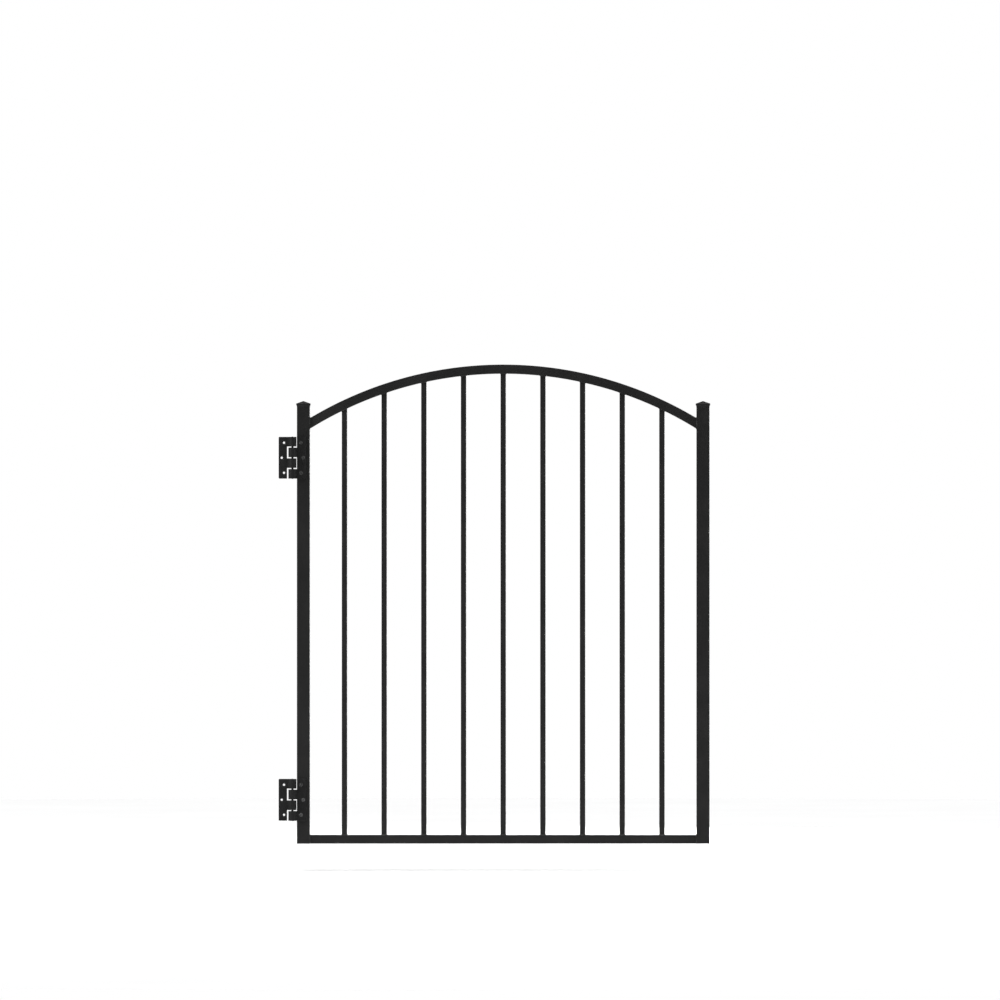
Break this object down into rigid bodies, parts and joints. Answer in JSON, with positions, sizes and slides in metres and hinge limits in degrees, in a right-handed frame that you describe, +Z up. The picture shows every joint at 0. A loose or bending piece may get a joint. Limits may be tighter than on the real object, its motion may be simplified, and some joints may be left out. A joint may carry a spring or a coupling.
{
  "type": "garden gate",
  "caption": "Arched garden gate of black powder-coated square tube with vertical pickets and pyramid-capped stiles, swinging on knuckle hinges that fix to a gate post.",
  "frame": {"origin": "on the back face of the lower hinge's post leaf, beside its middle screw hole, where the gate post holds the gate", "axes": "+X from the hinge side to the latch side, +Y from the front of the gate to its back, +Z up; the gate is closed"},
  "size_m": [1.2752, 0.0642, 1.416],
  "materials": {
    "powder_coated_tube": "satin",
    "powder_coated_casting": "satin",
    "blackened_steel": "satin",
    "black_nylon": "matte"
  },
  "bodies": {
    "post_side": {"lower_post_leaf": "powder_coated_casting", "lower_hinge_pin": "blackened_steel", "lower_hinge_spacer_top": "black_nylon", "lower_hinge_spacer_middle": "black_nylon", "lower_hinge_spacer_bottom": "black_nylon", "upper_post_leaf": "powder_coated_casting", "upper_hinge_pin": "blackened_steel", "upper_hinge_spacer_top": "black_nylon", "upper_hinge_spacer_middle": "black_nylon", "upper_hinge_spacer_bottom": "black_nylon"},
    "gate": {"hinge_stile": "powder_coated_tube", "latch_stile": "powder_coated_tube", "arched_top_rail": "powder_coated_tube", "bottom_rail": "powder_coated_tube", "picket_1": "powder_coated_tube", "picket_2": "powder_coated_tube", "picket_3": "powder_coated_tube", "picket_4": "powder_coated_tube", "picket_5": "powder_coated_tube", "picket_6": "powder_coated_tube", "picket_7": "powder_coated_tube", "picket_8": "powder_coated_tube", "picket_9": "powder_coated_tube", "hinge_stile_cap": "powder_coated_casting", "latch_stile_cap": "powder_coated_casting", "hinge_stile_plug": "black_nylon", "latch_stile_plug": "black_nylon", "lower_gate_leaf": "powder_coated_casting", "lower_leaf_screw_top": "blackened_steel", "lower_leaf_screw_middle": "blackened_steel", "lower_leaf_screw_bottom": "blackened_steel", "upper_gate_leaf": "powder_coated_casting", "upper_leaf_screw_top": "blackened_steel", "upper_leaf_screw_middle": "blackened_steel", "upper_leaf_screw_bottom": "blackened_steel"}
  },
  "joints": [
    {"name": "gate_swing", "type": "hinge", "parent": "post_side", "child": "gate", "pos_m": [0.022, -0.012, 0], "axis": [0, 0, -1], "range_deg": [0, 175]}
  ]
}
